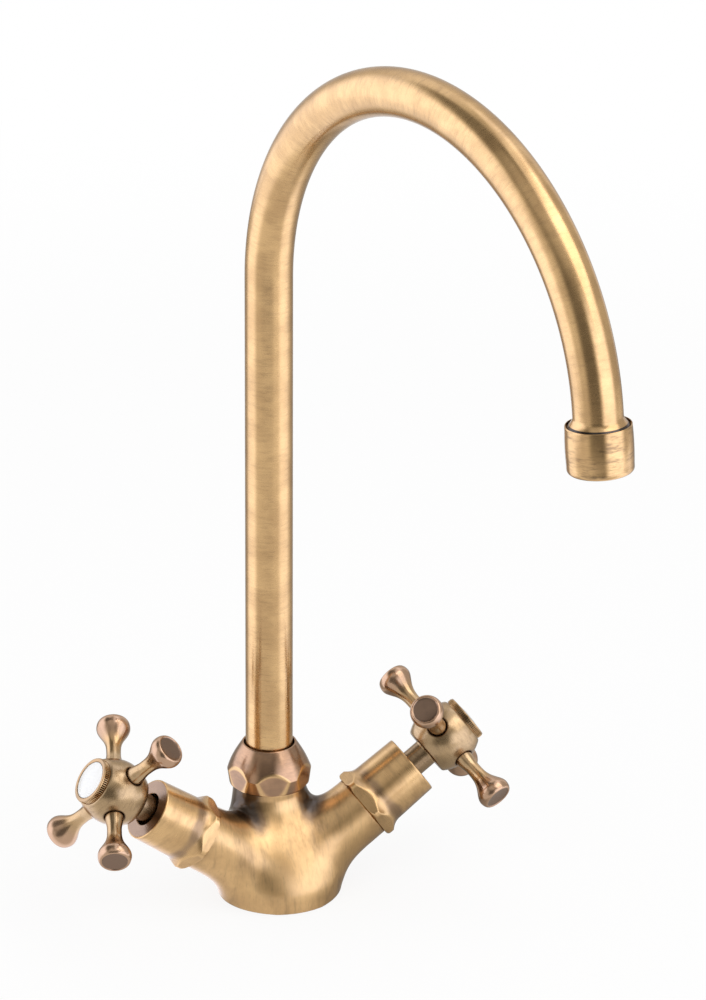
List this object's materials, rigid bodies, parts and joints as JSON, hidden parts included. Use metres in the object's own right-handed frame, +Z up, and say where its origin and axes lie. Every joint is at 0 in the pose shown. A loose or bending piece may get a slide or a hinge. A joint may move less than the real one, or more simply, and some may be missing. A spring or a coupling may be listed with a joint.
{
  "type": "kitchen mixer tap",
  "caption": "Deck-mounted kitchen mixer tap: a swivelling swan-neck spout with an aerator on a cast base, and cross-handle valves on angled arms.",
  "frame": {"origin": "centre of the round base on the underside, at sink-deck level", "axes": "+Z up from the deck; -Y is the front, where the user stands; +X towards the cold valve"},
  "size_m": [0.1964, 0.2447, 0.3936],
  "materials": {
    "cast_brass": "antique brushed brass with dark patina in the hollows",
    "tube_brass": "brass brushed round the tube",
    "nut_brass": "darkened brass with bright edges",
    "handle_brass": "coppery brown aged brass",
    "plain_brass": "plain machined brass",
    "porcelain": "white glaze",
    "alumina": "polished technical ceramic",
    "rubber": "black rubber",
    "fibre": "red fibre, stated as rubber",
    "nylon": "white nylon",
    "steel": "stainless steel"
  },
  "bodies": {
    "base": {"body": "cast_brass", "base_seal": "rubber", "gland_nut": "nut_brass", "lower_slip_washer": "nylon", "upper_slip_washer": "nylon", "hot_cover": "cast_brass", "hot_headwork": "plain_brass", "hot_fibre_washer": "fibre", "hot_lip_seal": "rubber", "hot_fixed_disc": "alumina", "cold_cover": "cast_brass", "cold_headwork": "plain_brass", "cold_fibre_washer": "fibre", "cold_lip_seal": "rubber", "cold_fixed_disc": "alumina"},
    "spout": {"spout_tube": "tube_brass", "spout_shank": "plain_brass", "spout_seals": "rubber", "aerator_housing": "tube_brass", "aerator_washer": "rubber", "aerator_insert": "nylon", "aerator_diffuser": "nylon", "aerator_grille": "steel"},
    "hot_handle": {"hot_moving_disc": "alumina", "hot_thrust_washer": "nylon", "hot_spindle": "plain_brass", "hot_spindle_seals": "rubber", "hot_circlip": "steel", "hot_hub": "handle_brass", "hot_spoke_1": "handle_brass", "hot_spoke_2": "handle_brass", "hot_spoke_3": "handle_brass", "hot_spoke_4": "handle_brass", "hot_handle_screw": "steel", "hot_index_ring": "handle_brass", "hot_index_disc": "porcelain"},
    "cold_handle": {"cold_moving_disc": "alumina", "cold_thrust_washer": "nylon", "cold_spindle": "plain_brass", "cold_spindle_seals": "rubber", "cold_circlip": "steel", "cold_hub": "handle_brass", "cold_spoke_1": "handle_brass", "cold_spoke_2": "handle_brass", "cold_spoke_3": "handle_brass", "cold_spoke_4": "handle_brass", "cold_handle_screw": "steel", "cold_index_ring": "handle_brass", "cold_index_disc": "porcelain"}
  },
  "joints": [
    {"name": "spout_swivel", "type": "hinge", "parent": "base", "child": "spout", "pos_m": [0, 0.012, 0.0458], "axis": [0, 0, 1], "continuous": true},
    {"name": "hot_turn", "type": "hinge", "parent": "base", "child": "hot_handle", "pos_m": [-0.04891, -0.0014, 0.04106], "axis": [-0.8151, 0, 0.5793], "range_deg": [0, 90]},
    {"name": "cold_turn", "type": "hinge", "parent": "base", "child": "cold_handle", "pos_m": [0.04891, -0.0014, 0.04106], "axis": [0.8151, 0, 0.5793], "range_deg": [0, 90]}
  ]
}
